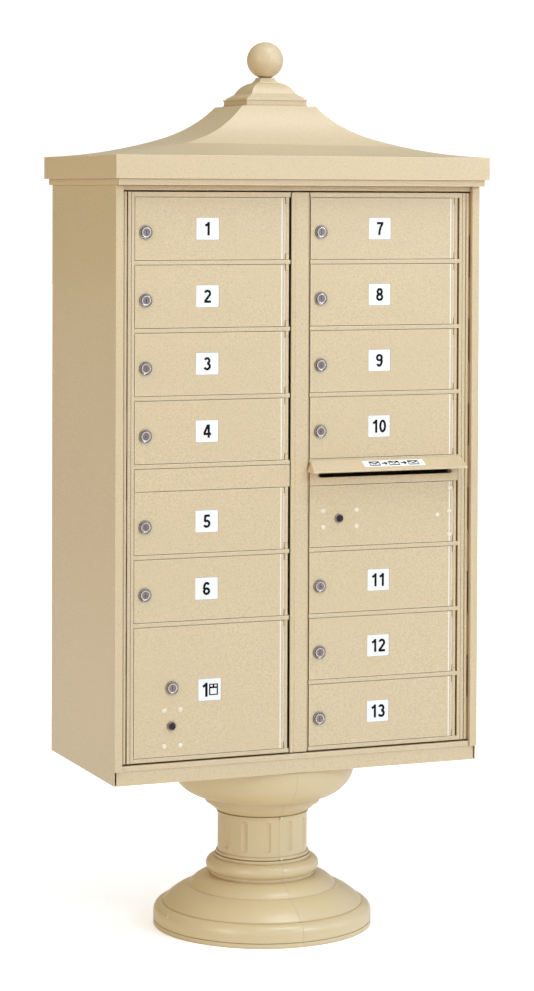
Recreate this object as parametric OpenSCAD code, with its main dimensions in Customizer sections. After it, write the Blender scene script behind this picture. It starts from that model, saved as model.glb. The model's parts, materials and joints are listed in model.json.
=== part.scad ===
/* [Cabinet] */
// cabinet width over the side panels
body_w = 774.7; // [774.7:0.1:774.7]
// cabinet depth, post face to back panel
body_d = 400; // [380:1:440]
// underside of the floor pan above the ground
pan_z = 340; // [340:1:340]
// top of the side panels
body_top = 1500; // [1500:1:1500]
// sheet thickness of side, back, top and floor panels
sheet = 3; // [2:0.5:4]
// width of the front corner posts
post_w = 15.85; // [12:0.05:15.85]

/* [Door rows] */
// vertical pitch from one tenant door to the next
pitch = 131.4; // [131.4:0.1:131.4]
// height of the bar between two doors
bar_h = 8.2; // [6:0.1:9]
// top of the uppermost door opening
rows_top = 1477.3; // [1477.3:0.1:1477.3]
// height taken by the mail slot panel and the blank panel beside it
slot_row = 44.4; // [44.4:0.1:44.4]
// clearance all round a small door
door_gap = 1; // [0.6:0.1:1.4]
// thickness of a small door panel
door_t = 3; // [2.5:0.5:4]

/* [Locks] */
// lock axis to the free edge of a tenant door
lock_in = 22; // [20:0.5:24]
// lock axis below the middle of a tenant door
lock_drop = 7; // [0:0.5:10]
// radius of the lock bezel
bezel_r = 13; // [11:0.5:14]
// radius of the turning lock plug
plug_r = 7.5; // [6.5:0.1:8]

/* [Mail slot] */
// width of the mail slot
slot_w = 294; // [260:1:300]
// height of the mail slot
slot_h = 8.8; // [8:0.1:10]
// how far the hood stands out from the doors
hood_out = 34; // [26:1:36]

/* [Roof] */
// overhang of the roof edge at each side
eave_x = 8.65; // [8.65:0.01:8.65]
// overhang of the roof edge at front and back
eave_y = 27.5; // [24:0.5:30]
// height of the upright roof edge
eave_h = 45.3; // [40:0.1:50]
// height of the curved roof above its edge
roof_rise = 102; // [90:1:112]
// wall thickness of the roof moulding
roof_wall = 4; // [3:0.5:6]
// radius of the finial ball
ball_r = 36.8; // [30:0.1:40]

/* [Pedestal] */
// outer radius of the pedestal post
post_r = 57.15; // [50:0.05:60.3]
// side of the square base plate
base_side = 280; // [260:1:290]
// spacing of the anchor bolts, both ways
anchor_gap = 220; // [200:1:224]
// radius of the anchor bolt holes
anchor_hole_r = 7; // [6.6:0.1:8]
// spacing of the cabinet mounting bolts, both ways
mount_gap = 160; // [150:1:164]
// radius of the cabinet mounting bolt holes
mount_hole_r = 6.5; // [6.2:0.1:7]
// radius of the foot of the pedestal cover
foot_r = 221.5; // [218:0.5:226]
// radius of the fluted shaft
shaft_r = 91; // [90:0.5:92]

/* [View] */
// sub-part to draw

/* [Hidden] */
$fn = 64;
seam = 0.05;
clear = 0.08;

// planes of the cabinet
hx = body_w / 2;
hy = body_d / 2;
front = -hy;
face = front + 8.5;
frame_back = face + 21.5;
shelf_front = frame_back + 15;
back_in = hy - sheet;
side_in = hx - sheet;

// loading doors
frame_z0 = pan_z + 41.5;
frame_z1 = rows_top + 9.7;
pin_x = hx - 22.35;
pin_y = face + 4.1;
stile_out = pin_x - 5;
stile_in = stile_out - 13.5;
knuckles = 13;
knuckle_h = (frame_z1 - frame_z0) / knuckles;

// small doors: free edge and hinge axis of each column
left_edge = -stile_in + 1;
left_axis = -27.7;
right_edge = 21.5;
right_axis = stile_in - 7;
axis_y = face + 4.3;
barrel_r = 4.1;
tenant_pin_r = 2;
curl = 8.6;
opening_h = pitch - bar_h;
door_h = opening_h - 2 * door_gap;
parcel_h = 2 * pitch - bar_h - 2 * door_gap;

label_in = 149.6;

slot_z = rows_top - 4 * pitch - slot_row;

// locks
cam_y = frame_back + 0.6;
cam_t = 2;
cam_len = 30;
carrier_r = 6;
carrier_bezel_r = 9;
plug_back = frame_back - 1.5;

// roof
rx = hx + eave_x;
ry = hy + eave_y;
cornice_h = 12.7;
eave_z = body_top + cornice_h;
curve_z = eave_z + eave_h;
roof_top = curve_z + roof_rise;
shelf_x = 79;
shelf_y = 77;
mid_x = 180;
mid_y = 124;
mid_z = curve_z + 0.3676 * roof_rise;
plinth_z = roof_top + 14.5;
cap_z = plinth_z + 33.5;
neck_z = cap_z + 11;
ball_z = neck_z + ball_r - 1.2;

function row_z(r) = rows_top - pitch * (r + 1) + bar_h - (r > 3 ? slot_row : 0);
function bar_z(r) = row_z(r) - bar_h;
function knuckle_z(k) = frame_z0 + k * knuckle_h + 0.2;

module box(x0, x1, y0, y1, z0, z1) {
    translate([x0, y0, z0]) cube([x1 - x0, y1 - y0, z1 - z0]);
}

module rod(x, y, z0, z1, r) {
    translate([x, y, z0]) cylinder(h = z1 - z0, r = r);
}

module rod_y(x, y0, y1, z, r) {
    translate([x, y0, z]) rotate([-90, 0, 0]) cylinder(h = y1 - y0, r = r);
}

// four copies at the corners of a square
module corners(gap) {
    for (sx = [-1, 1]) for (sy = [-1, 1]) translate([sx * gap / 2, sy * gap / 2, 0]) children();
}

// ---------- cabinet shell ----------

// side sheet with the folded corner post along its front edge
module side_panel() {
    difference() {
        box(-hx, -side_in, front, hy, pan_z, body_top);
        box(-hx - 1, -side_in + 1, front - 1, front + 6, pan_z - 1, pan_z + 28);
    }
    box(-hx, -hx + post_w, front, front + sheet, pan_z + 28, body_top);
    box(-hx + post_w - sheet, -hx + post_w, front, front + 20, pan_z + 28, body_top);
}

module left_side_panel() {
    color("#dccba4") side_panel();
}

module right_side_panel() {
    color("#dccba4") mirror([1, 0, 0]) side_panel();
}

module back_panel() {
    color("#d2bf94")
        box(-side_in + seam, side_in - seam, back_in, hy, pan_z + sheet + seam, body_top - sheet - seam);
}

module cabinet_top() {
    color("#d2bf94") box(-side_in + seam, side_in - seam, front + 30, hy, body_top - sheet, body_top);
}

// floor sheet with an upright lip along the front
module floor_pan() {
    color("#dccba4") {
        difference() {
            box(-side_in + seam, side_in - seam, front + 9.1, hy, pan_z, pan_z + sheet);
            corners(mount_gap) translate([0, 0, pan_z - 1]) cylinder(h = sheet + 2, r = mount_hole_r);
        }
        box(-hx + 6, hx - 6, front + 6, front + 9, pan_z, pan_z + 28 - seam);
    }
}

// head bar and sill bar between the corner posts
module front_frame() {
    color("#dccba4") {
        box(-hx + post_w + seam, hx - post_w - seam, face, frame_back, frame_z1 + 3, body_top - seam);
        box(-hx + post_w + seam, hx - post_w - seam, front + 4, frame_back, pan_z + 28, frame_z0 - 3);
    }
}

module centre_partition() {
    color("#c9b78f")
        box(-10, -8, shelf_front, back_in - seam, pan_z + sheet + seam, body_top - sheet - seam);
}

// one shelf sheet between x0 and x1, its underside at z
module shelf(x0, x1, z) {
    box(x0, x1, shelf_front, back_in - seam, z, z + 2);
}

module left_shelves() {
    color("#c9b78f") {
        for (r = [0, 1, 2, 3, 4, 5, 7]) shelf(-side_in + seam, -10 - seam, bar_z(r) + 3);
        shelf(-side_in + seam, -10 - seam, bar_z(3) - slot_row + 3);
    }
}

module right_shelves() {
    color("#c9b78f") {
        for (r = [0:7]) shelf(-8 + seam, side_in - seam, bar_z(r) + 3);
    }
}

// ---------- roof ----------

// outline under one concave slope: two arcs that meet smoothly at the middle point
// a0, am, a1 are half widths at the edge, the middle and the top; lift is the start angle
module slope_outline(a0, am, a1, lift, t) {
    ch1 = atan((mid_z - curve_z) / (a0 - am));
    th1 = 2 * ch1 - lift;
    r1 = (a0 - am) / (sin(th1) - sin(lift));
    c1x = a0 + r1 * sin(lift);
    c1z = curve_z + r1 * cos(lift);
    ch2 = atan((roof_top - mid_z) / (am - a1));
    th2 = 2 * ch2 - th1;
    r2 = (am - a1) / (sin(th2) - sin(th1));
    c2x = am + r2 * sin(th1);
    c2z = mid_z + r2 * cos(th1);
    split = am - t * sin(th1);
    difference() {
        translate([split, eave_z - 2]) square([a0 - t - split, mid_z - eave_z + 22]);
        translate([c1x, c1z]) circle(r = r1 + t, $fn = 200);
    }
    difference() {
        translate([-1, eave_z - 2]) square([split + 1, roof_top - t - eave_z + 2]);
        translate([c2x, c2z]) circle(r = r2 + t, $fn = 200);
    }
}

module both_ways() {
    children();
    mirror([1, 0]) children();
}

// solid four-sided roof, t inside its outer face
module roof_solid(t) {
    intersection() {
        translate([0, ry, 0]) rotate([90, 0, 0]) linear_extrude(2 * ry)
            both_ways() slope_outline(rx, mid_x, shelf_x, 1.8, t);
        translate([-rx, 0, 0]) rotate([90, 0, 90]) linear_extrude(2 * rx)
            both_ways() slope_outline(ry, mid_y, shelf_y, 4, t);
    }
}

// curved roof with its upright edge and the stepped cornice under it
module roof_shell() {
    color("#e2d2ad") difference() {
        union() {
            intersection() {
                roof_solid(0);
                box(-rx, rx, -ry, ry, eave_z, roof_top + 1);
            }
            box(-hx - 0.8, hx + 0.8, -hy - 21, hy + 21, body_top, eave_z + 1);
        }
        intersection() {
            roof_solid(roof_wall);
            box(-rx, rx, -ry, ry, eave_z + 4, roof_top + 1);
        }
        box(-hx + 12, hx - 12, -hy + 12, hy - 12, body_top - 1, eave_z + 5);
    }
}

module half_cap() {
    intersection() {
        translate([0, plinth_z + seam]) square([62, cap_z - plinth_z - seam]);
        union() {
            translate([13, plinth_z - 2.5]) circle(r = 37.5, $fn = 120);
            polygon([[0, plinth_z], [62, plinth_z], [61.4, plinth_z + 2.5], [54.7, plinth_z + 6.6],
                [48.4, plinth_z + 11], [0, plinth_z + 11]]);
        }
    }
}

module neck_outline() {
    polygon([[-22, cap_z + seam], [22, cap_z + seam], [17, cap_z + 5.4], [14.6, neck_z],
        [-14.6, neck_z], [-17, cap_z + 5.4]]);
}

// square plinth, domed square cap and square neck under the ball
module finial_base() {
    color("#e2d2ad") {
        box(-66, 66, -66, 66, roof_top + seam, roof_top + 2.5);
        box(-64.5, 64.5, -64.5, 64.5, roof_top + 2.5 + seam, plinth_z - 3);
        box(-66, 66, -66, 66, plinth_z - 3 + seam, plinth_z);
        intersection() {
            translate([0, 70, 0]) rotate([90, 0, 0]) linear_extrude(140) both_ways() half_cap();
            translate([-70, 0, 0]) rotate([90, 0, 90]) linear_extrude(140) both_ways() half_cap();
        }
        intersection() {
            translate([0, 24, 0]) rotate([90, 0, 0]) linear_extrude(48) neck_outline();
            translate([-24, 0, 0]) rotate([90, 0, 90]) linear_extrude(48) neck_outline();
        }
    }
}

module finial_ball() {
    color("#dccba4") difference() {
        translate([0, 0, ball_z]) sphere(r = ball_r, $fn = 96);
        box(-20, 20, -20, 20, ball_z - ball_r - 1, neck_z + seam);
    }
}

// ---------- pedestal ----------

module pedestal() {
    color("#8f8a7c") {
        difference() {
            box(-base_side / 2, base_side / 2, -base_side / 2, base_side / 2, 0, 10);
            corners(anchor_gap) translate([0, 0, -1]) cylinder(h = 12, r = anchor_hole_r);
        }
        difference() {
            rod(0, 0, 10 + seam, pan_z - 8 - seam, post_r);
            rod(0, 0, 9, pan_z, post_r - 5);
        }
        difference() {
            box(-100, 100, -100, 100, pan_z - 8, pan_z - seam);
            corners(mount_gap) translate([0, 0, pan_z - 9]) cylinder(h = 10, r = mount_hole_r);
        }
    }
}

// hexagon-headed bolt standing in a plate, head upwards
module bolt(r, z0, z1, head_r, head_h) {
    rod(0, 0, z0, z1 + seam, r);
    translate([0, 0, z1]) cylinder(h = head_h, r = head_r, $fn = 6);
}

module mounting_bolts() {
    color("#b9bcc0") corners(mount_gap) {
        bolt(6, pan_z - 14, pan_z + sheet + seam, 10.4, 7.5);
        difference() {
            translate([0, 0, pan_z - 18]) cylinder(h = 10 - seam, r = 10.4, $fn = 6);
            rod(0, 0, pan_z - 19, pan_z - 7, 6.1);
        }
    }
}

// part of a disc between two heights, for the rounded steps of the pedestal cover
module arc_band(cx, cz, r, z0, z1) {
    intersection() {
        translate([cx, cz]) circle(r = r);
        translate([0, z0]) square([foot_r + 20, z1 - z0]);
    }
}

// half outline of the pedestal cover, radius against height
module cover_outline() {
    difference() {
        union() {
            // rim of the foot with a fine groove
            square([foot_r, 9]);
            square([foot_r - 1.4, 12]);
            translate([0, 10.6]) square([foot_r, 15.4]);
            arc_band(foot_r - 18, 26, 18, 25, 44.5);
            // two rounded steps up to the neck
            square([202.5, 46.4]);
            arc_band(122.9, -23, 105.3, 46.4, 78.8);
            square([149.8, 80]);
            arc_band(111.2, 56.9, 44.1, 79.8, 101);
            square([106, 112]);
            translate([100, 121.5]) circle(r = 14.8);
            square([100, 136.5]);
            square([97, 143]);
            translate([shaft_r + 0.4, 146.3]) circle(r = 3.7);
            // shaft, band and capital
            square([shaft_r, 234]);
            translate([shaft_r, 229]) circle(r = 2.6);
            arc_band(68.9, 277.6, 50.9, 233, 257);
            translate([0, 250]) square([shaft_r + 26, 2]);
            translate([0, 252]) square([shaft_r + 26.5, 13]);
            arc_band(118, 333, 70, 264.5, pan_z - 2);
        }
        translate([-1, -1]) square([shaft_r - 5, pan_z + 2]);
        polygon([[0, -1], [foot_r - 5, -1], [foot_r - 5, 12], [180, 40], [140, 66], [100, 84], [0, 90]]);
        polygon([[0, 237], [shaft_r - 1, 240], [shaft_r + 17, 254], [shaft_r + 22, 257],
            [shaft_r + 22, 300], [0, 300]]);
        arc_band(118, 333, 66, 269, pan_z);
    }
}

// a flute with rounded ends, cut into the shaft
module flute() {
    translate([shaft_r + 4.6, 0, 0]) {
        rod(0, 0, 166, 214.5, 8.4);
        translate([0, 0, 166]) sphere(r = 8.4);
        translate([0, 0, 214.5]) sphere(r = 8.4);
    }
}

module cover_half(side) {
    translate([side * 0.15, 0, 0]) rotate([0, 0, -side * 90]) difference() {
        rotate_extrude(angle = 180, $fn = 128) cover_outline();
        for (k = [0:5]) rotate([0, 0, 15 + 30 * k]) flute();
    }
}

module pedestal_cover_left() {
    color("#d6c094") cover_half(-1);
}

module pedestal_cover_right() {
    color("#d6c094") difference() {
        cover_half(1);
        for (z = [146.5, 229]) for (s = [-1, 1]) translate([3.4, 0, z]) rotate([90, 0, 0])
            translate([0, 0, s > 0 ? 80 : -100]) cylinder(h = 20, r = 2.1);
    }
}

// screws that close the cover along its front and back seams
module cover_screws() {
    color("#cfc6ac") for (z = [146.5, 229]) for (s = [-1, 1]) {
        rod_y(3.4, s > 0 ? 80 : -95.4, s > 0 ? 95.4 : -80, z, 1.5);
        rod_y(3.4, s > 0 ? 95.3 : -97.1, s > 0 ? 97.1 : -95.3, z, 2.8);
    }
}

// ---------- loading doors ----------

// tube of one hinge knuckle
module knuckle(x, y, z0, z1, r, bore) {
    difference() {
        rod(x, y, z0, z1, r);
        rod(x, y, z0 - 1, z1 + 1, bore);
    }
}

// knuckles fixed to the corner posts, with their pins
module loading_hinges() {
    color("#dccba4") for (s = [-1, 1]) {
        for (k = [0:2:knuckles - 1]) difference() {
            union() {
                rod(s * pin_x, pin_y, knuckle_z(k), knuckle_z(k) + knuckle_h - 0.4, 3.9);
                translate([s * (pin_x + 4.3) - 2.1, pin_y - 1, knuckle_z(k)])
                    cube([4.2, 2, knuckle_h - 0.4]);
            }
            rod(s * pin_x, pin_y, frame_z0 - 1, frame_z1 + 1, 1.55);
        }
        rod(s * pin_x, pin_y, frame_z0 + 1, frame_z1 - 1, 1.5);
    }
}

// knuckles on the loading door, on the side s of its hinge
module door_knuckles(s) {
    for (k = [1:2:knuckles - 1]) difference() {
        union() {
            rod(s * pin_x, pin_y, knuckle_z(k), knuckle_z(k) + knuckle_h - 0.4, 3.9);
            translate([s * (pin_x - 3.9) - 1, pin_y - 1, knuckle_z(k)])
                cube([2, 2, knuckle_h - 0.4]);
        }
        rod(s * pin_x, pin_y, frame_z0 - 1, frame_z1 + 1, 1.55);
    }
}

// end knuckles and pin that carry one small door
module small_hinge(x, z, h) {
    for (zz = [z + 0.3, z + h - 12.3]) difference() {
        union() {
            rod(x, axis_y, zz, zz + 12, barrel_r);
            box(x - 2, x + 2, axis_y, face + 9.45, zz, zz + 12);
        }
        rod(x, axis_y, zz - 1, zz + 13, tenant_pin_r + 0.05);
    }
    rod(x, axis_y, z + 0.8, z + h - 0.8, tenant_pin_r);
}

// bars between the door openings, from x0 to x1
module rails(x0, x1, rows) {
    for (r = rows) box(x0, x1, face, face + 9.4, bar_z(r), bar_z(r) + bar_h);
    box(x0, x1, face, face + 9.4, rows_top, frame_z1);
}

// two ribs of the hinge-side stile
module ribbed_stile(s) {
    mirror([s < 0 ? 1 : 0, 0, 0]) {
        box(stile_in, stile_in + 6.3, face, frame_back, frame_z0, frame_z1);
        box(stile_in + 7, stile_out, face, frame_back, frame_z0, frame_z1);
    }
}

module left_door_frame() {
    color("#dccba4") {
        ribbed_stile(-1);
        box(left_axis - 10.3, left_axis + 6.2, face + 9.5, frame_back, frame_z0, frame_z1);
        rails(-stile_in + seam, left_axis + 6, [0, 1, 2, 3, 4, 5, 7]);
        box(-stile_in + seam, left_axis + 6, face + 3 + seam, face + 9.4, slot_z, slot_z + 5.2);
        box(-stile_in + 1, left_axis + 6, face, face + 3, slot_z, bar_z(3) - 1);
    }
}

// hinge knuckles and pins that belong to the left loading door
module left_hinges() {
    color("#dccba4") {
        door_knuckles(-1);
        for (r = [0:5]) small_hinge(left_axis, row_z(r), opening_h);
        small_hinge(left_axis, row_z(7), opening_h + pitch);
    }
}

module left_latch_bar() {
    color("#9aa0a6")
        box(left_axis - 8, left_axis + 4, frame_back + 0.3, frame_back + 4.3, frame_z0 + 6, frame_z1 - 7);
}

// outline of the plate that holds the mail slot
module slot_outline() {
    c = (right_edge + right_axis) / 2 + 6;
    z = bar_z(3) - slot_row / 2 - 2.4;
    w = slot_w / 2;
    h = slot_h / 2;
    difference() {
        translate([right_edge, slot_z])
            square([right_axis + 6 - right_edge, bar_z(3) - slot_z - 1]);
        polygon([[c - w, z], [c - w + 4.4, z + h], [c + w - 4.4, z + h], [c + w, z], [c + w - 4.4, z - h],
            [c - w + 4.4, z - h]]);
    }
}

module right_door_frame() {
    color("#dccba4") {
        ribbed_stile(1);
        box(right_axis - 10.3, right_axis + 6.9, face + 9.5, frame_back, frame_z0, frame_z1);
        box(3, right_edge - 1, face + 3, frame_back, frame_z0, frame_z1);
        rails(right_edge - 0.95, stile_in - seam, [0, 1, 2, 3, 4, 5, 6, 7]);
        box(right_edge - 0.95, stile_in - seam, face + 3 + seam, face + 9.4, slot_z, slot_z + 5.2);
        translate([0, face + 3, 0]) rotate([90, 0, 0]) linear_extrude(3) slot_outline();
    }
}

// hinge knuckles and pins that belong to the right loading door
module right_hinges() {
    color("#dccba4") {
        door_knuckles(1);
        for (r = [0:7]) small_hinge(right_axis, row_z(r), opening_h);
    }
}

module right_latch_bar() {
    color("#9aa0a6") {
        box(3, 12, frame_back + 0.3, frame_back + 4.3, frame_z0 + 6, frame_z1 - 7);
        box(3, 38, frame_back + 4.3 + seam, frame_back + 7.3, row_z(4) + 84, row_z(4) + 96);
    }
}

// upright strip that covers the meeting edges of the two loading doors
module mullion() {
    color("#dccba4") translate([0, 0, frame_z0 - 1]) linear_extrude(frame_z1 - frame_z0 + 1)
        polygon([[-19.4, face + 2.9], [-19.4, face + 0.8], [-18.2, face - 0.4], [-13.6, face - 0.4],
            [-12.4, face + 0.8], [-10.8, face + 0.8], [-9.6, face - 0.2], [15.6, face - 0.2],
            [17, face + 1], [17, face + 2.9]]);
}

// wedge of the hood, t inside its outer face
module hood_wedge(t) {
    top = bar_z(3) + 5;
    low = top - 22;
    intersection() {
        translate([0, face + 3, 0]) rotate([90, 0, 0]) linear_extrude(hood_out + 12)
            polygon([[22.5 + t, top], [350.3 - t, top], [351.5 - t, low - t], [14.5 + t, low - t]]);
        rotate([90, 0, 90]) linear_extrude(400)
            polygon([[face - seam + t, top - t], [face - hood_out + t, low + 4 - t],
                [face - hood_out + t, low - t], [face - seam + t, low - t]]);
    }
}

// sloping hood over the mail slot, open underneath
module hood() {
    color("#dccba4") difference() {
        hood_wedge(0);
        hood_wedge(2.2);
    }
}

// ---------- small doors ----------

// housing of a tenant lock: bezel and sleeve with a bore for the plug
module lock_housing(x, z, bez, r) {
    difference() {
        union() {
            rod_y(x, face - 3, face - seam, z, bez);
            rod_y(x, face - 4.2, face - 2.9, z, bez - 2.4);
            rod_y(x, face - 1, plug_back, z, r + 2);
        }
        rod_y(x, face - 6, plug_back + 1, z, r + clear);
    }
}

// shallow pocket in a door for its number plate, centred on x and z
module label_pocket(x, z) {
    box(x - 24.2, x + 24.2, face - 1, face + 1.1, z - 22.2, z + 22.2);
}

// panel with its rolled edge and hinge barrel; x0 is the free edge, xa the hinge axis
module leaf(x0, xa, z, h) {
    box(x0, xa - curl - 2.5, face, face + door_t, z, z + h);
    rod(xa - curl, axis_y, z, z + h, barrel_r + 0.1);
    difference() {
        union() {
            rod(xa, axis_y, z + 12, z + h - 12, barrel_r);
            box(xa - curl, xa - 2, axis_y - 1.5, axis_y + 1.5, z + 12, z + h - 12);
        }
        rod(xa, axis_y, z, z + h, tenant_pin_r + 0.05);
    }
}

module tenant_door(x0, xa, r) {
    zc = row_z(r) + opening_h / 2 - lock_drop;
    color("#dccba4") {
        difference() {
            leaf(x0, xa, row_z(r) + door_gap, door_h);
            rod_y(x0 + lock_in, face - 1, face + door_t + 1, zc, plug_r + 2 + clear);
            label_pocket(x0 + label_in, row_z(r) + opening_h / 2);
        }
        lock_housing(x0 + lock_in, zc, bezel_r, plug_r);
    }
}

module parcel_door() {
    zt = row_z(7) + 134;
    zc = row_z(7) + 60;
    color("#dccba4") {
        difference() {
            leaf(left_edge, left_axis, row_z(7) + door_gap, parcel_h);
            rod_y(left_edge + 78.5, face - 1, face + door_t + 1, zt, plug_r + 2 + clear);
            rod_y(left_edge + 77.5, face - 1, face + door_t + 1, zc, carrier_r + 2 + clear);
            label_pocket(left_edge + 156.8, row_z(7) + 126.2);
        }
        lock_housing(left_edge + 78.5, zt, bezel_r, plug_r);
        lock_housing(left_edge + 77.5, zc, carrier_bezel_r, carrier_r);
    }
}

module outgoing_door() {
    zc = row_z(4) + 56.5;
    color("#dccba4") {
        difference() {
            leaf(right_edge, right_axis, row_z(4) + door_gap, door_h);
            rod_y(right_edge + 63, face - 1, face + door_t + 1, zc, carrier_r + 2 + clear);
        }
        lock_housing(right_edge + 63, zc, carrier_bezel_r, carrier_r);
    }
}

// turning plug with its cam; the cam stands upright while unlocked
module plug(x, z, r, len, dir) {
    difference() {
        rod_y(x, face - 3, cam_y, z, r);
        box(x - 0.7, x + 0.7, face - 4, face - 1, z - r * 0.6, z + r * 0.6);
    }
    translate([x, cam_y - seam, z]) rotate([-90, 0, 0]) linear_extrude(cam_t + seam) {
        circle(r = 6);
        translate([-5, dir > 0 ? -len : 0]) square([10, len]);
    }
    rod_y(x, cam_y + cam_t - seam, cam_y + cam_t + 2.5, z, 3.5);
}

module tenant_lock(x0, r) {
    color("#c9c9cc") plug(x0 + lock_in, row_z(r) + opening_h / 2 - lock_drop, plug_r, cam_len, -1);
}

module parcel_tenant_lock() {
    color("#c9c9cc") plug(left_edge + 78.5, row_z(7) + 134, plug_r, 86, 1);
}

module parcel_carrier_lock() {
    color("#55575a") plug(left_edge + 77.5, row_z(7) + 60, carrier_r, 24, -1);
}

module outgoing_carrier_lock() {
    color("#55575a") plug(right_edge + 63, row_z(4) + 56.5, carrier_r, 12, -1);
}

// sliding bolt that the carrier lock throws behind the door frame
module outgoing_bolt() {
    zc = row_z(4) + 56.5;
    color("#9aa0a6") box(right_edge + 5, right_edge + 50, cam_y - 0.2, cam_y + 2.4, zc - 9, zc + 9);
}

// ---------- numbered doors and their locks ----------

module tenant_door_01() {
    tenant_door(left_edge, left_axis, 0);
}

module tenant_lock_01() {
    tenant_lock(left_edge, 0);
}

module tenant_door_02() {
    tenant_door(left_edge, left_axis, 1);
}

module tenant_lock_02() {
    tenant_lock(left_edge, 1);
}

module tenant_door_03() {
    tenant_door(left_edge, left_axis, 2);
}

module tenant_lock_03() {
    tenant_lock(left_edge, 2);
}

module tenant_door_04() {
    tenant_door(left_edge, left_axis, 3);
}

module tenant_lock_04() {
    tenant_lock(left_edge, 3);
}

module tenant_door_05() {
    tenant_door(left_edge, left_axis, 4);
}

module tenant_lock_05() {
    tenant_lock(left_edge, 4);
}

module tenant_door_06() {
    tenant_door(left_edge, left_axis, 5);
}

module tenant_lock_06() {
    tenant_lock(left_edge, 5);
}

module tenant_door_07() {
    tenant_door(right_edge, right_axis, 0);
}

module tenant_lock_07() {
    tenant_lock(right_edge, 0);
}

module tenant_door_08() {
    tenant_door(right_edge, right_axis, 1);
}

module tenant_lock_08() {
    tenant_lock(right_edge, 1);
}

module tenant_door_09() {
    tenant_door(right_edge, right_axis, 2);
}

module tenant_lock_09() {
    tenant_lock(right_edge, 2);
}

module tenant_door_10() {
    tenant_door(right_edge, right_axis, 3);
}

module tenant_lock_10() {
    tenant_lock(right_edge, 3);
}

module tenant_door_11() {
    tenant_door(right_edge, right_axis, 5);
}

module tenant_lock_11() {
    tenant_lock(right_edge, 5);
}

module tenant_door_12() {
    tenant_door(right_edge, right_axis, 6);
}

module tenant_lock_12() {
    tenant_lock(right_edge, 6);
}

module tenant_door_13() {
    tenant_door(right_edge, right_axis, 7);
}

module tenant_lock_13() {
    tenant_lock(right_edge, 7);
}

left_side_panel();
right_side_panel();
back_panel();
cabinet_top();
floor_pan();
front_frame();
centre_partition();
left_shelves();
right_shelves();
roof_shell();
finial_base();
finial_ball();
pedestal();
mounting_bolts();
pedestal_cover_left();
pedestal_cover_right();
cover_screws();
loading_hinges();
left_door_frame();
left_hinges();
left_latch_bar();
right_door_frame();
right_hinges();
right_latch_bar();
mullion();
hood();
tenant_door_01();
tenant_door_02();
tenant_door_03();
tenant_door_04();
tenant_door_05();
tenant_door_06();
tenant_door_07();
tenant_door_08();
tenant_door_09();
tenant_door_10();
tenant_door_11();
tenant_door_12();
tenant_door_13();
parcel_door();
outgoing_door();
tenant_lock_01();
tenant_lock_02();
tenant_lock_03();
tenant_lock_04();
tenant_lock_05();
tenant_lock_06();
tenant_lock_07();
tenant_lock_08();
tenant_lock_09();
tenant_lock_10();
tenant_lock_11();
tenant_lock_12();
tenant_lock_13();
parcel_tenant_lock();
parcel_carrier_lock();
outgoing_carrier_lock();
outgoing_bolt();
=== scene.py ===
"""Looks for the pedestal mailbox cabinet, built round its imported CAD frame.

Lengths are in metres, or in millimetres where a comment says so or MM turns them into metres.
"""

import json
import math

import bmesh
import bpy
from mathutils import Matrix, Vector


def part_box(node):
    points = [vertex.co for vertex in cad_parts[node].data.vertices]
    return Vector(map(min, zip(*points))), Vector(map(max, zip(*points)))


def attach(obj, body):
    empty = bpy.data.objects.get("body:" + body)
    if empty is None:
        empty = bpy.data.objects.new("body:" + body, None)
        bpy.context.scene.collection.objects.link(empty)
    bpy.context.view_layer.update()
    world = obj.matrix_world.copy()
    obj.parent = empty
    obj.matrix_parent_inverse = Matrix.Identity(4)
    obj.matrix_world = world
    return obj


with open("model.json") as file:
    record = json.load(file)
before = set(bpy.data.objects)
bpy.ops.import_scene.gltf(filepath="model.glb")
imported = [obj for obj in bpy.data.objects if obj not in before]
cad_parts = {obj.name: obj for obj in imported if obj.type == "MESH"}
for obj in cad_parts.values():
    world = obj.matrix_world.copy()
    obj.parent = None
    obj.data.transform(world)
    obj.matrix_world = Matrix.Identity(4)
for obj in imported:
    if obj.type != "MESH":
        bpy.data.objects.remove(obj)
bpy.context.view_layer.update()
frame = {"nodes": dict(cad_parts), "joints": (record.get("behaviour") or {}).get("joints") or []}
nodes = frame["nodes"]
MM = 0.001
TENANTS = range(1, 14)
FRONT = Vector((0, -1, 0))


# ---------- colours and materials ----------

def lin(r, g, b):
    """sRGB 0-255 to a linear RGBA colour."""
    out = []
    for c in (r, g, b):
        c /= 255
        out.append(c / 12.92 if c <= 0.04045 else ((c + 0.055) / 1.055) ** 2.4)
    return (*out, 1.0)


def scaled(colour, k):
    return (colour[0] * k, colour[1] * k, colour[2] * k, 1.0)


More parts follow.
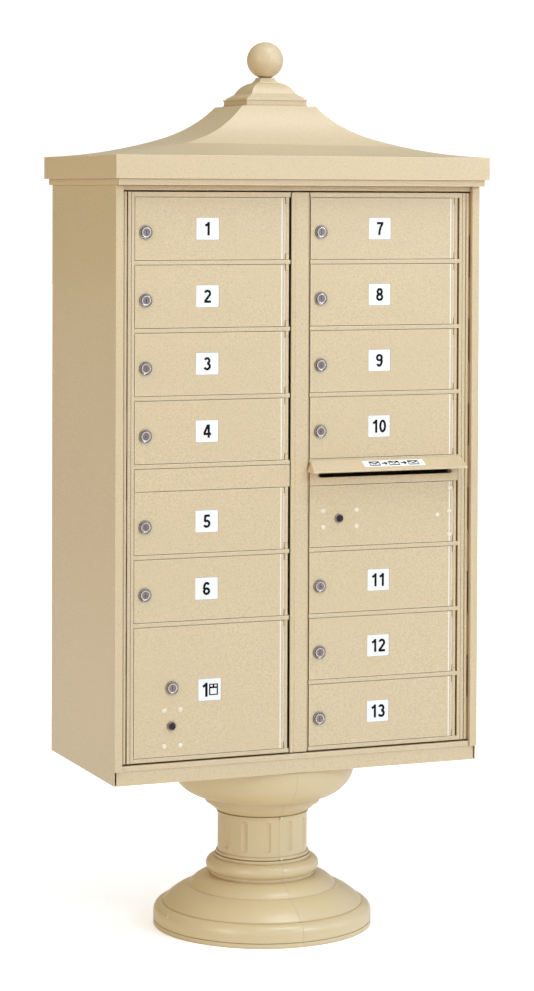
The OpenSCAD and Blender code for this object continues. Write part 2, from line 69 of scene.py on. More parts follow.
class Shader:
    """One material and short ways to add nodes to it."""

    def __init__(self, name):
        self.mat = bpy.data.materials.new(name)
        self.mat.use_nodes = True
        self.tree = self.mat.node_tree
        self.bsdf = self.tree.nodes["Principled BSDF"]
        self.coord = self.tree.nodes.new("ShaderNodeTexCoord").outputs["Object"]

    def put(self, socket, value):
        self.bsdf.inputs[socket].default_value = value

    def link(self, a, b):
        self.tree.links.new(a, b)

    def feed(self, output, socket):
        """Links an output to a named socket of the main shader."""
        self.link(output, self.bsdf.inputs[socket])

    def noise(self, scale, detail=2.0, rough=0.5, stretch=None):
        node = self.tree.nodes.new("ShaderNodeTexNoise")
        node.inputs["Scale"].default_value = scale
        node.inputs["Detail"].default_value = detail
        node.inputs["Roughness"].default_value = rough
        src = self.coord
        if stretch:
            mapping = self.tree.nodes.new("ShaderNodeMapping")
            mapping.inputs["Scale"].default_value = stretch
            self.link(src, mapping.inputs["Vector"])
            src = mapping.outputs["Vector"]
        self.link(src, node.inputs["Vector"])
        return node.outputs["Fac"]

    def remap(self, value, lo, hi, to_lo, to_hi):
        node = self.tree.nodes.new("ShaderNodeMapRange")
        keys = ("From Min", "From Max", "To Min", "To Max")
        for key, v in zip(keys, (lo, hi, to_lo, to_hi)):
            node.inputs[key].default_value = v
        self.link(value, node.inputs["Value"])
        return node.outputs["Result"]

    def mix(self, fac, a, b, mode="MIX"):
        node = self.tree.nodes.new("ShaderNodeMix")
        node.data_type = "RGBA"
        node.blend_type = mode
        for key, v in (("Factor", fac), ("A", a), ("B", b)):
            sock = [s for s in node.inputs if s.name == key and s.enabled][0]
            if hasattr(v, "is_output"):
                self.link(v, sock)
            else:
                sock.default_value = v
        return [s for s in node.outputs if s.enabled][0]

    def bump(self, height, strength, distance):
        node = self.tree.nodes.new("ShaderNodeBump")
        node.inputs["Strength"].default_value = strength
        node.inputs["Distance"].default_value = distance
        self.link(height, node.inputs["Height"])
        self.feed(node.outputs["Normal"], "Normal")

    def occlusion(self, distance, inside=False):
        """How open a place is within a distance, outside the surface or under it."""
        node = self.tree.nodes.new("ShaderNodeAmbientOcclusion")
        node.samples = 6
        node.inside = inside
        node.inputs["Distance"].default_value = distance
        return node.outputs["AO"]

    def distance_from_x(self, x):
        """Distance along X from a plane of the CAD frame."""
        across = self.tree.nodes.new("ShaderNodeSeparateXYZ")
        self.link(self.coord, across.inputs[0])
        away = self.tree.nodes.new("ShaderNodeMath")
        away.operation = "SUBTRACT"
        away.inputs[1].default_value = x
        self.link(across.outputs["X"], away.inputs[0])
        size = self.tree.nodes.new("ShaderNodeMath")
        size.operation = "ABSOLUTE"
        self.link(away.outputs[0], size.inputs[0])
        return size.outputs[0]


GRAIN_SCALE, SPECK_SCALE, CLOUD_SCALE = 520, 230, 5
# painted shade: crevices within this reach of other surfaces are darkened by this tint
PAINTED_SHADE_REACH = 0.006
PAINTED_SHADE_TINT = (0.55, 0.45, 0.32, 1)
# painted highlight on outer edges; its reach is less than the 1.9 mm walls, so that a pocket in a
# door's front doesn't show on its back
EDGE_HIGHLIGHT_REACH = 0.0016
EDGE_HIGHLIGHT_COLOUR = (0.9, 0.83, 0.69, 1)
# half width of a painted highlight line along a ridge, where it is full, and where it ends
RIDGE_CORE, RIDGE_END = 0.0008, 0.0019
RIDGE_HIGHLIGHT_COLOUR = (0.97, 0.93, 0.84, 1)


def powder_coat(name, colour, grain, rough, bump, coat=0.0, edge=0.75, ridges=()):
    """Sandstone powder coat: fine grain, soft mottling and a pebbled surface.

    The shader paints shade into crevices and paints highlights on outer edges by lightening them,
    as much as edge says. Along ridges, places in millimetres on X, it paints highlight lines.
    """
    s = Shader(name)
    fine = s.noise(GRAIN_SCALE, 3.0, 0.6)
    speck = s.noise(SPECK_SCALE)
    cloud = s.noise(CLOUD_SCALE)
    base = s.mix(s.remap(fine, 0.36, 0.64, 0, 1),
                 scaled(colour, 1 - grain), scaled(colour, 1 + grain))
    base = s.mix(s.remap(speck, 0.56, 0.7, 0, 0.55), base, scaled(colour, 1 - 2.2 * grain))
    base = s.mix(s.remap(cloud, 0.35, 0.65, 0, 0.5), base, scaled(colour, 0.97))
    # painted highlight: thin outer edges are lightened towards the highlight colour
    edge_highlight = s.remap(s.occlusion(EDGE_HIGHLIGHT_REACH, inside=True), 0.45, 0.85, edge, 0)
    base = s.mix(edge_highlight, base, EDGE_HIGHLIGHT_COLOUR)
    # painted highlight lines along the ridges
    for x in ridges:
        line = s.remap(s.distance_from_x(x * MM), RIDGE_CORE, RIDGE_END, 0.9, 0)
        base = s.mix(line, base, RIDGE_HIGHLIGHT_COLOUR)
    # painted shade: the coat is multiplied by the tint where occlusion is high
    clear = s.remap(s.occlusion(PAINTED_SHADE_REACH), 0.3, 0.75, 0, 1)
    base = s.mix(clear, s.mix(1.0, base, PAINTED_SHADE_TINT, "MULTIPLY"), base)
    s.feed(base, "Base Color")
    s.feed(s.remap(fine, 0.3, 0.7, rough - 0.06, rough + 0.06), "Roughness")
    s.put("Coat Weight", coat)
    s.put("Coat Roughness", 0.14)
    s.bump(fine, bump, 0.0004)
    return s.mat


def metal(name, colour, rough, metallic=1.0, scale=60, stretch=None, vary=0.12, bump=0.04):
    s = Shader(name)
    n = s.noise(scale, 4.0, 0.6, stretch)
    s.feed(s.mix(s.remap(n, 0.3, 0.7, 0, 1), scaled(colour, 1 - vary), scaled(colour, 1 + vary)),
           "Base Color")
    s.feed(s.remap(n, 0.3, 0.7, rough * 0.8, rough * 1.25), "Roughness")
    s.put("Metallic", metallic)
    s.bump(n, bump, 0.0002)
    return s.mat


def plastic(name, colour, rough, vary=0.03, specular=0.5):
    s = Shader(name)
    n = s.noise(900)
    s.feed(s.mix(s.remap(n, 0.35, 0.65, 0, 1), scaled(colour, 1 - vary), colour), "Base Color")
    s.feed(s.remap(n, 0.3, 0.7, rough - 0.05, rough + 0.05), "Roughness")
    s.put("Specular IOR Level", specular)
    s.bump(n, 0.03, 0.0001)
    return s.mat


SAND = lin(218, 196, 157)
M_BODY = powder_coat("sandstone_coat", SAND, grain=0.13, rough=0.34, bump=0.3, coat=0.45)
# the painted light lines stand for the highlights on the rolled hinge edge of each door
M_DOOR = powder_coat("door_coat", SAND, grain=0.13, rough=0.34, bump=0.3, coat=0.45,
                     ridges=(-39.8, -32.3, 327.2, 334.6))
M_ROOF = powder_coat("roof_coat", SAND, grain=0.09, rough=0.44, bump=0.25, coat=0.12)
M_COVER = powder_coat("cover_coat", lin(223, 202, 159), grain=0.018, rough=0.36, bump=0.08,
                      coat=0.3, edge=0)
M_INNER = metal("mill_aluminium", lin(196, 194, 188), 0.42, metallic=0.85, scale=25,
                stretch=(1, 1, 14), vary=0.06)
M_ZINC = metal("zinc_plate", lin(178, 180, 184), 0.36, scale=90)
M_POST = metal("post_steel", lin(120, 116, 108), 0.5, metallic=0.7, scale=70)
M_SCREW = metal("painted_screw", lin(232, 222, 196), 0.3, metallic=0.3, scale=200)
M_CHROME = metal("lock_chrome", lin(196, 190, 188), 0.16, scale=420, vary=0.1, bump=0.05)
M_PLUG = metal("lock_plug", lin(150, 138, 138), 0.3, scale=500, vary=0.16, bump=0.1)
# near black: painted shadow and dark reflection on the lock bezels, painted shade in the foot
# screw's socket
M_PAINTED_SHADOW = metal("lock_shadow_ring", lin(26, 22, 22), 0.6, metallic=0, scale=400, vary=0.2,
               bump=0.05)
M_DARK = metal("carrier_lock_metal", lin(74, 66, 68), 0.26, scale=400, vary=0.2, bump=0.08)
M_LABEL = plastic("label_plate", lin(250, 250, 248), 0.4)
M_INK = plastic("label_ink", lin(9, 9, 9), 0.7, vary=0.1, specular=0.15)
# lighter than the body coat that the rivets share: a painted highlight on their domes
M_LIT_RIVET = powder_coat("rivet_lit_coat", lin(242, 230, 203), grain=0.03, rough=0.3, bump=0.05, coat=0.6)

# CAD nodes that don't have the body's coat
FINISH = {
    "cabinet_top": M_INNER, "centre_partition": M_INNER,
    "left_shelves": M_INNER, "right_shelves": M_INNER,
    "roof_shell": M_ROOF, "finial_base": M_ROOF, "finial_ball": M_ROOF,
    "pedestal": M_POST, "mounting_bolts": M_ZINC,
    "pedestal_cover_left": M_COVER, "pedestal_cover_right": M_COVER, "cover_screws": M_SCREW,
    "left_latch_bar": M_ZINC, "right_latch_bar": M_ZINC, "outgoing_bolt": M_ZINC,
    "parcel_carrier_lock": M_DARK, "outgoing_carrier_lock": M_DARK,
    "parcel_tenant_lock": M_PLUG, "parcel_door": M_DOOR, "outgoing_door": M_DOOR,
}
FINISH.update({f"tenant_lock_{k:02d}": M_PLUG for k in TENANTS})
FINISH.update({f"tenant_door_{k:02d}": M_DOOR for k in TENANTS})

# width of the softened edges in millimetres; at 0 a node keeps its own
DEFAULT_EDGE = 0.5
EDGE = {
    "roof_shell": 1.6, "finial_base": 1.2, "finial_ball": 0,
    "pedestal_cover_left": 0, "pedestal_cover_right": 0, "cover_screws": 0.3,
    "left_hinges": 0.3, "right_hinges": 0.3, "loading_hinges": 0.3,
    "floor_pan": 1.2, "left_side_panel": 1.0, "right_side_panel": 1.0,
    "front_frame": 1.0, "hood": 0.7,
}


def dress(name):
    """Gives a CAD node its finish and softened edges."""
    obj = nodes[name]
    mesh = obj.data
    mesh.materials.clear()
    mesh.materials.append(FINISH.get(name, M_BODY))
    width = EDGE.get(name, DEFAULT_EDGE)
    if width:
        if mesh.attributes.get("custom_normal"):
            mesh.attributes.remove(mesh.attributes["custom_normal"])
        mesh.polygons.foreach_set("use_smooth", [True] * len(mesh.polygons))
        weld = obj.modifiers.new("weld", "WELD")
        weld.merge_threshold = 2e-6
        flat = obj.modifiers.new("flat", "DECIMATE")
        flat.decimate_type = "DISSOLVE"
        flat.angle_limit = math.radians(0.4)
        bevel = obj.modifiers.new("edges", "BEVEL")
        bevel.limit_method = "ANGLE"
        bevel.angle_limit = math.radians(32)
        bevel.width = width * MM
        bevel.segments = 2
        shade = obj.modifiers.new("shade", "WEIGHTED_NORMAL")
        shade.keep_sharp = True
        shade.weight = 80


for node_name in nodes:
    dress(node_name)


# ---------- ways to make pieces ----------

def piece(name, mesh, material, body, at, smooth=True):
    """Adds a mesh as a piece that rides on a body; at is its place or its whole matrix."""
    obj = bpy.data.objects.new(name, mesh)
    bpy.context.scene.collection.objects.link(obj)
    if not mesh.materials:
        mesh.materials.append(material)
    if smooth:
        mesh.polygons.foreach_set("use_smooth", [True] * len(mesh.polygons))
    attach(obj, body)
    if isinstance(at, Matrix):
        obj.matrix_world = at
    else:
        obj.location = at


def finish_mesh(bm, name):
    bmesh.ops.recalc_face_normals(bm, faces=bm.faces)
    mesh = bpy.data.meshes.new(name)
    bm.to_mesh(mesh)
    bm.free()
    return mesh


def arc(cx, cy, rx, ry, start, stop, steps=20):
    """Points of an ellipse between two angles in degrees."""
    out = []
    for k in range(steps + 1):
        a = math.radians(start + (stop - start) * k / steps)
        out.append((cx + rx * math.cos(a), cy + ry * math.sin(a)))
    return out


def lathe_mesh(name, profile, steps=48):
    """Turns (radius, out) points in millimetres about the -Y axis; out is towards the front."""
    bm = bmesh.new()
    rings = []
    for r, out in profile:
        if r < 1e-6:
            rings.append([bm.verts.new((0, -out * MM, 0))])
        else:
            rings.append([bm.verts.new((r * MM * math.sin(a), -out * MM, r * MM * math.cos(a)))
                          for a in (2 * math.pi * k / steps for k in range(steps))])
    for a, b in zip(rings, rings[1:]):
        for k in range(steps):
            quad = (a[k % len(a)], a[(k + 1) % len(a)], b[(k + 1) % len(b)], b[k % len(b)])
            corners = list(dict.fromkeys(quad))
            if len(corners) > 2:
                bm.faces.new(corners)
    return finish_mesh(bm, name)


def plate_mesh(name, w, h, r, thick, soft=0.15, corner_steps=5):
    """A flat plate with round corners and a soft front edge, its back at y 0, in millimetres."""
    bm = bmesh.new()
    pts = []
    for sx, sz, start in ((1, 1, 0), (-1, 1, 90), (-1, -1, 180), (1, -1, 270)):
        pts += arc(sx * (w / 2 - r), sz * (h / 2 - r), r, r, start, start + 90, corner_steps)
    rings = []
    for inset, out in ((0, 0), (0, thick - soft), (soft, thick)):
        kx, kz = 1 - 2 * inset / w, 1 - 2 * inset / h
        rings.append([bm.verts.new((x * kx * MM, -out * MM, z * kz * MM)) for x, z in pts])
    n = len(pts)
    for a, b in zip(rings, rings[1:]):
        for k in range(n):
            bm.faces.new((a[k], a[(k + 1) % n], b[(k + 1) % n], b[k]))
    bm.faces.new(rings[-1])
    bm.faces.new(list(reversed(rings[0])))
    return finish_mesh(bm, name)


def ribbon(bm, points, width, thick):
    """Adds a flat band of even width along (x, z) points, its back at y 0, in millimetres."""
    closed = math.dist(points[0], points[-1]) < 1e-6
    pts = points[:-1] if closed else points
    n = len(pts)
    left, right = [], []
    for k, (x, z) in enumerate(pts):
        px, pz = pts[(k - 1) % n] if closed or k else (x, z)
        qx, qz = pts[(k + 1) % n] if closed or k < n - 1 else (x, z)
        dx, dz = qx - px, qz - pz
        length = math.hypot(dx, dz)
        nx, nz = -dz / length * width / 2, dx / length * width / 2
        for side, sign in ((left, 1), (right, -1)):
            side.append([bm.verts.new(((x + sign * nx) * MM, -out * MM, (z + sign * nz) * MM))
                         for out in (0, thick)])
    for k in range(n if closed else n - 1):
        j = (k + 1) % n
        bm.faces.new((left[k][1], left[j][1], right[j][1], right[k][1]))
        bm.faces.new((left[k][0], left[j][0], left[j][1], left[k][1]))
        bm.faces.new((right[k][1], right[j][1], right[j][0], right[k][0]))
        bm.faces.new((right[k][0], right[j][0], left[j][0], left[k][0]))
    if not closed:
        bm.faces.new((left[0][0], left[0][1], right[0][1], right[0][0]))
        bm.faces.new((left[-1][1], left[-1][0], right[-1][0], right[-1][1]))


# centre lines of the figures in a box one unit high, baseline at 0
SIX = [arc(0.3, 0.295, 0.2, 0.2, 0, 360), arc(0.315, 0.5, 0.215, 0.405, 185, 42)]
FIGURES = {
    "0": [arc(0.29, 0.5, 0.2, 0.405, 0, 360, 32)],
    "1": [[(0.37, 0), (0.37, 1)], [(0.4, 0.94), (0.27, 0.81), (0.1, 0.72)]],
    "2": [arc(0.3, 0.7, 0.2, 0.205, 165, -38) + [(0.13, 0.16), (0.1, 0.09)],
          [(0.04, 0.09), (0.58, 0.09)]],
    "3": [arc(0.28, 0.715, 0.18, 0.19, 158, -90), arc(0.28, 0.3, 0.215, 0.21, 90, -160)],
    "4": [[(0.37, 0.96), (0.07, 0.33)], [(0.02, 0.29), (0.62, 0.29)], [(0.43, 0), (0.43, 1)]],
    "5": [[(0.16, 0.91), (0.55, 0.91)], [(0.19, 0.96), (0.14, 0.47)],
          arc(0.29, 0.31, 0.215, 0.22, 138, -155)],
    "6": SIX,
    "7": [[(0.04, 0.91), (0.58, 0.91)], [(0.5, 0.88), (0.36, 0.62), (0.27, 0.32), (0.24, 0)]],
    "8": [arc(0.3, 0.715, 0.175, 0.19, 0, 360), arc(0.3, 0.295, 0.21, 0.205, 0, 360)],
    "9": [[(0.6 - x, 1 - y) for x, y in line] for line in SIX],
}
# thickness of the ink in millimetres, and how much further out each next stroke comes
INK_T, INK_STEP = 0.12, 0.01


def add_strokes(bm, lines, width, first=0):
    for i, pts in enumerate(lines, first):
        ribbon(bm, pts, width, INK_T + INK_STEP * i)


def figure_lines(figure, height, shift):
    """Strokes of one figure in millimetres; shift moves it along X, in heights."""
    return [[((x + shift) * height, (y - 0.5) * height) for x, y in line]
            for line in FIGURES[figure]]


def number_mesh(text, height=26, weight=0.18, gap=0.62):
    """Bold figures as a mesh in the XZ plane, centred, facing -Y; height in millimetres."""
    bm = bmesh.new()
    wide = gap * (len(text) - 1)
    for k, figure in enumerate(text):
        lines = figure_lines(figure, height, k * gap - wide / 2 - 0.3)
        add_strokes(bm, lines, weight * height)
    return finish_mesh(bm, "number_" + text)


# ---------- locks ----------

DOOR_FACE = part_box("left_door_frame")[0].y
# (radius, out) outlines in millimetres
BEZEL = [(13.05, -0.05), (13.25, 0.4), (13.3, 1.7), (13.05, 2.5), (12.5, 3.05), (11.8, 3.25),
         (11.2, 3.1), (10.9, 2.75), (10.75, 3.0), (10.7, 3.9), (10.45, 4.4), (9.9, 4.65),
         (9.2, 4.65), (8.6, 4.3), (8.1, 3.6), (7.8, 2.6), (7.53, 2.2), (7.53, 0.4)]
SMALL_BEZEL = [(9.05, -0.05), (9.2, 0.4), (9.25, 1.7), (9.0, 2.6), (8.4, 3.1), (7.8, 3.15),
               (7.3, 2.8), (6.95, 3.2), (6.85, 4.1), (6.55, 4.4), (6.2, 4.4), (6.04, 4.1),
               (6.04, 0.4)]
# radii in millimetres between which a bezel is painted dark, as shadow and dark reflection
BEZEL_SHADOWS = ((11.9, 14), (10.0, 10.95), (7.2, 8.65))


def lock_place(name):
    """The place of a lock at its door's front, from the axis of the joint that turns it."""
    joint = [j for j in frame["joints"] if j["child"] == name][0]
    x, _, z = joint["pos_m"]
    return Vector((x, DOOR_FACE, z))


def bands(mesh, material, *ranges):
    """Gives the faces of a turned mesh another material between pairs of radii in millimetres."""
    mesh.materials.append(material)
    for poly in mesh.polygons:
        r = math.hypot(poly.center.x, poly.center.z) / MM
        if any(lo < r < hi for lo, hi in ranges):
            poly.material_index = len(mesh.materials) - 1


def add_bezel(tag, lock, door, mesh, material):
    piece(f"{tag}_bezel", mesh, material, door, at=lock_place(lock))


bezel = lathe_mesh("lock_bezel", BEZEL)
bezel.materials.append(M_CHROME)
bands(bezel, M_PAINTED_SHADOW, *BEZEL_SHADOWS)
for k in TENANTS:
    add_bezel(f"lock_{k:02d}", f"tenant_lock_{k:02d}", f"tenant_door_{k:02d}", bezel, M_CHROME)
add_bezel("parcel_lock", "parcel_tenant_lock", "parcel_door", bezel, M_CHROME)
small_bezel = lathe_mesh("carrier_bezel", SMALL_BEZEL, 40)
add_bezel("parcel_carrier", "parcel_carrier_lock", "parcel_door", small_bezel, M_DARK)
add_bezel("outgoing_carrier", "outgoing_carrier_lock", "outgoing_door", small_bezel, M_DARK)


# ---------- labels ----------

# width, height, corner radius and thickness of a plate, and how deep its back lies, in millimetres
LABEL_W, LABEL_H, LABEL_CORNER, LABEL_T, LABEL_SUNK = 47, 43, 1.6, 0.6, 1.08
LABEL_FROM_LOCK = 0.1276
PARCEL_LABEL_RIGHT, PARCEL_LABEL_UP = 0.1568, 0.1252
label_plate = plate_mesh("label_plate", LABEL_W, LABEL_H, LABEL_CORNER, LABEL_T)


def add_label(plate_name, sign_name, sign, door, x, z):
    """A white plate in the pocket of a door, and the ink on it."""
    at = Vector((x, DOOR_FACE + LABEL_SUNK * MM, z))
    piece(plate_name, label_plate, M_LABEL, door, smooth=False, at=at)
    piece(sign_name, sign, M_INK, door, smooth=False, at=at + FRONT * LABEL_T * MM)


for k in TENANTS:
    tenant_door = f"tenant_door_{k:02d}"
    lo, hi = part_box(tenant_door)
    label_x = lock_place(f"tenant_lock_{k:02d}").x + LABEL_FROM_LOCK
    add_label(f"label_{k:02d}", f"number_{k:02d}", number_mesh(str(k)), tenant_door,
              label_x, (lo.z + hi.z) / 2)

# the parcel door has a figure 1 and a parcel with its tape; sizes in millimetres
PARCEL_FIGURE_H, PARCEL_FIGURE_SHIFT, PARCEL_FIGURE_WIDTH = 27.5, -0.62, 5.1
PARCEL_LINES = ([(0, 10), (16, 10), (16, -10), (0, -10), (0, 10)],
                [(0, 4), (16, 4)], [(8, 4), (8, 10)])
PARCEL_LINE_WIDTH = 3.4
bm = bmesh.new()
one = figure_lines("1", PARCEL_FIGURE_H, PARCEL_FIGURE_SHIFT)
add_strokes(bm, one, PARCEL_FIGURE_WIDTH)
add_strokes(bm, PARCEL_LINES, PARCEL_LINE_WIDTH, first=len(one))
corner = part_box("parcel_door")[0]
add_label("label_parcel", "parcel_sign", finish_mesh(bm, "parcel_sign"), "parcel_door",
          corner.x + PARCEL_LABEL_RIGHT, corner.z + PARCEL_LABEL_UP)

# a white strip on the slope of the hood, with envelopes and arrows in place of words
# width, height, corner radius and thickness of the strip in millimetres
STRIP_W, STRIP_H, STRIP_CORNER, STRIP_T = 133, 22, 1.2, 0.4
STRIP_X, STRIP_UP, HOOD_LIP = 0.196, 0.001, 0.004
# left ends, sizes and line width of the signs, in millimetres
ENVELOPES, ENVELOPE_W, ENVELOPE_UP, FLAP_UP, FLAP_DOWN = (-52, -10, 32), 21, 6, 5.4, -1
ARROWS, ARROW_SHAFT, ARROW_TIP, BARB_AT, BARB_UP = (-26, 16), 10, 11, 6.6, 4.2
SIGN_WIDTH = 3.0
hood_lo, hood_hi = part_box("hood")
top_edge = Vector((0, DOOR_FACE, hood_hi.z))
lip_edge = Vector((0, hood_lo.y, hood_lo.z + HOOD_LIP))
down = (lip_edge - top_edge).normalized()
slope_out = (FRONT - down * FRONT.dot(down)).normalized()
tilt = Matrix((Vector((1, 0, 0)), -slope_out, -down)).transposed().to_4x4()
middle = (top_edge + lip_edge) / 2 + Vector((STRIP_X, 0, 0)) - down * STRIP_UP
piece("outgoing_strip", plate_mesh("outgoing_strip", STRIP_W, STRIP_H, STRIP_CORNER, STRIP_T),
      M_LABEL, "right_loading_door", smooth=False, at=Matrix.Translation(middle) @ tilt)
signs = []
for x0 in ENVELOPES:
    x1 = x0 + ENVELOPE_W
    signs.append([(x0, ENVELOPE_UP), (x1, ENVELOPE_UP), (x1, -ENVELOPE_UP), (x0, -ENVELOPE_UP),
                  (x0, ENVELOPE_UP)])
    signs.append([(x0, FLAP_UP), ((x0 + x1) / 2, FLAP_DOWN), (x1, FLAP_UP)])
for x0 in ARROWS:
    signs.append([(x0, 0), (x0 + ARROW_SHAFT, 0)])
    signs.append([(x0 + BARB_AT, BARB_UP), (x0 + ARROW_TIP, 0), (x0 + BARB_AT, -BARB_UP)])
bm = bmesh.new()
add_strokes(bm, signs, SIGN_WIDTH)
piece("outgoing_signs", finish_mesh(bm, "outgoing_signs"), M_INK, "right_loading_door",
      smooth=False, at=Matrix.Translation(middle + slope_out * STRIP_T * MM) @ tilt)


# ---------- rivets and the foot screw ----------

# (radius, out) outlines in millimetres
RIVET = [(5.3, -0.05), (5.3, 0.5), (4.9, 1.2), (4.0, 1.85), (2.8, 2.25), (1.4, 2.45), (0, 2.5)]
SCREW_HEAD = [(4.3, -0.6), (4.3, 0.5), (3.8, 1.3), (2.7, 1.9), (1.4, 2.1), (1.2, 0.9), (0, 0.9)]
# radii of the screw's socket, painted dark as shade
SCREW_SOCKET = (0, 1.3)
rivet = lathe_mesh("rivet", RIVET, 32)


def rivets(tag, body, places):
    """Rivet heads on the front of a door, at (x, z) places of the CAD frame in millimetres."""
    for k, (x, z) in enumerate(places, 1):
        piece(f"{tag}_rivet_{k}", rivet, M_LIT_RIVET, body, at=(x * MM, DOOR_FACE, z * MM))


rivets("parcel", "parcel_door",
       [(-283.5, 480.5), (-250.3, 480.5), (-283.5, 410.8), (-250.3, 410.8)])
rivets("outgoing", "outgoing_door",
       [(50.2, 856.5), (122.3, 856.5), (50.2, 823.6), (122.3, 823.6),
        (300, 839.5), (326.2, 893), (326.2, 846.2), (326.2, 799.4)])

# the screw sits on the round rim of the foot; turn goes round the pedestal from the front
RIM_RADIUS, RIM_HEIGHT = 0.2181, 0.035
turn, lift = math.radians(-82.2), math.radians(30)
sideways = Vector((math.sin(turn), -math.cos(turn), 0))
upwards = Vector((0, 0, 1))
normal = sideways * math.cos(lift) + upwards * math.sin(lift)
head = lathe_mesh("foot_screw", SCREW_HEAD, 32)
head.materials.append(M_SCREW)
bands(head, M_PAINTED_SHADOW, SCREW_SOCKET)
piece("foot_screw", head, M_SCREW, "cabinet",
      at=Matrix.Translation(sideways * RIM_RADIUS + upwards * RIM_HEIGHT)
      @ FRONT.rotation_difference(normal).to_matrix().to_4x4())


# ---------- floor and lights ----------

FLOOR_HALF = 40
# distances from the foot between which the floor's glow grows, and the glow there; the weaker glow
# near the foot paints a soft shadow round it
GLOW_NEAR, GLOW_FAR = (0.2, 0.42), (2.5, 1.0)
floor_corners = [(x * FLOOR_HALF, y * FLOOR_HALF, 0)
                 for x, y in ((-1, -1), (1, -1), (1, 1), (-1, 1))]
floor_mesh = bpy.data.meshes.new("floor")
floor_mesh.from_pydata(floor_corners, [], [(0, 1, 2, 3)])
floor = bpy.data.objects.new("floor", floor_mesh)
bpy.context.scene.collection.objects.link(floor)
# away from the foot the floor glows white to the camera; as a source of light it is weak and warm
paper = Shader("floor_paper")
paper.put("Base Color", (0.92, 0.92, 0.92, 1))
from_foot = paper.tree.nodes.new("ShaderNodeVectorMath")
from_foot.operation = "LENGTH"
paper.link(paper.coord, from_foot.inputs[0])
seen_directly = paper.tree.nodes.new("ShaderNodeLightPath").outputs["Is Camera Ray"]
paper.feed(paper.mix(seen_directly, (0.22, 0.14, 0.05, 1), (1, 1, 1, 1)), "Emission Color")
paper.feed(paper.remap(from_foot.outputs["Value"], GLOW_NEAR[0], GLOW_FAR[0],
                       GLOW_NEAR[1], GLOW_FAR[1]), "Emission Strength")
paper.feed(paper.remap(paper.noise(3), 0, 1, 0.8, 0.9), "Roughness")
floor_mesh.materials.append(paper.mat)


def area(name, place, target, size, power, colour=(1, 1, 1)):
    light = bpy.data.lights.new(name, "AREA")
    light.shape = "RECTANGLE"
    light.size, light.size_y = size
    light.energy = power
    light.color = colour
    obj = bpy.data.objects.new(name, light)
    bpy.context.scene.collection.objects.link(obj)
    obj.location = place
    obj.rotation_euler = (Vector(target) - Vector(place)).to_track_quat("-Z", "Y").to_euler()
    return obj


area("key", (2.6, -4.6, 3.0), (0, 0, 1.0), (1.6, 1.6), 86, (0.8, 0.91, 1.04))
area("left_fill", (-4.6, -2.0, 3.1), (0, 0, 1.4), (1.2, 2.6), 48, (1.0, 0.86, 0.58))
area("rim", (-1.2, -5.5, 0.9), (0, 0, 0.7), (0.5, 2.4), 5, (0.9, 0.95, 1.0))
area("top", (0.8, -1.6, 4.6), (0, 0, 1.5), (2.0, 2.0), 56, (0.94, 0.98, 1.0))
behind = area("back_fill", (1.5, 4.5, 2.6), (0, 0, 1.0), (2.5, 2.5), 55)
behind.visible_glossy = False
# two tall strips that show only as reflections in the coat and in the beads
for tag, place, power in (("strip_right", (4.6, -1.9, 1.3), 25),
                          ("strip_left", (-4.3, -2.9, 1.3), 45)):
    strip_light = area(tag, place, (0, 0, 0.9), (1.0, 3.0), power)
    strip_light.visible_diffuse = False

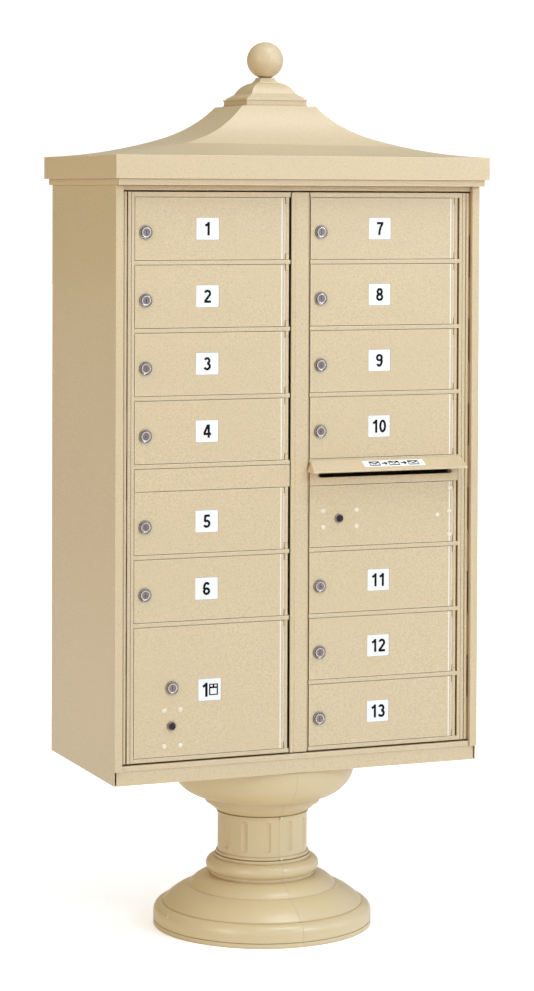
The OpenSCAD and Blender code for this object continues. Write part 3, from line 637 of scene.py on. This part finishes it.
# the camera sees a white backdrop; as a source of light the room is brighter to the front right,
# so that the faces of the cabinet differ
BRIGHT_WAY = (0.55, -0.75, 0.3)
GLOW_STOPS = ((0.1, (0.3, 0.25, 0.13, 1)), (0.95, (0.54, 0.62, 0.76, 1)))
world = bpy.data.worlds.new("studio")
bpy.context.scene.world = world
world.use_nodes = True
sky = world.node_tree
room = sky.nodes["Background"]
room.inputs["Strength"].default_value = 1.0
backdrop = sky.nodes.new("ShaderNodeBackground")
backdrop.inputs["Color"].default_value = (1, 1, 1, 1)
backdrop.inputs["Strength"].default_value = 1.1
rays = sky.nodes.new("ShaderNodeLightPath")
pick = sky.nodes.new("ShaderNodeMixShader")
way = sky.nodes.new("ShaderNodeTexCoord")
facing = sky.nodes.new("ShaderNodeVectorMath")
facing.operation = "DOT_PRODUCT"
facing.inputs[1].default_value = BRIGHT_WAY
# the dot product runs from -1 to 1 and the ramp from 0 to 1
half = sky.nodes.new("ShaderNodeMath")
half.operation = "MULTIPLY_ADD"
half.inputs[1].default_value = 0.5
half.inputs[2].default_value = 0.5
glow = sky.nodes.new("ShaderNodeValToRGB")
for stop, (position, colour) in zip(glow.color_ramp.elements, GLOW_STOPS):
    stop.position = position
    stop.color = colour
for output, socket in (
        (way.outputs["Generated"], facing.inputs[0]),
        (facing.outputs["Value"], half.inputs[0]),
        (half.outputs["Value"], glow.inputs["Fac"]),
        (glow.outputs["Color"], room.inputs["Color"]),
        (rays.outputs["Is Camera Ray"], pick.inputs["Fac"]),
        (room.outputs[0], pick.inputs[1]),
        (backdrop.outputs[0], pick.inputs[2]),
        (pick.outputs[0], sky.nodes["World Output"].inputs["Surface"])):
    sky.links.new(output, socket)


# ---------- camera ----------

CAM_AT = Vector((-2.18162, -5.40835, 1.48093))
YAW, PITCH, ROLL = (math.radians(a) for a in (22.0212, -1.2447, 0.2176))
IMAGE_H = 991
FOCAL_PX, CENTRE_V = 2870.78, 257.7
SENSOR = 36
ahead = Vector((math.sin(YAW) * math.cos(PITCH), math.cos(YAW) * math.cos(PITCH), math.sin(PITCH)))
right = Vector((math.cos(YAW), -math.sin(YAW), 0))
right = right * math.cos(ROLL) + right.cross(ahead) * math.sin(ROLL)
above = right.cross(ahead)
camera = bpy.data.cameras.new("camera")
camera.sensor_width = SENSOR
camera.lens = SENSOR * FOCAL_PX / IMAGE_H
camera.shift_y = (CENTRE_V - IMAGE_H / 2) / IMAGE_H
camera.clip_end = 200
cam = bpy.data.objects.new("camera", camera)
bpy.context.scene.collection.objects.link(cam)
cam.matrix_world = Matrix.Translation(CAM_AT) @ Matrix((right, above, -ahead)).transposed().to_4x4()
bpy.context.scene.camera = cam
bpy.context.scene.view_settings.view_transform = "Standard"
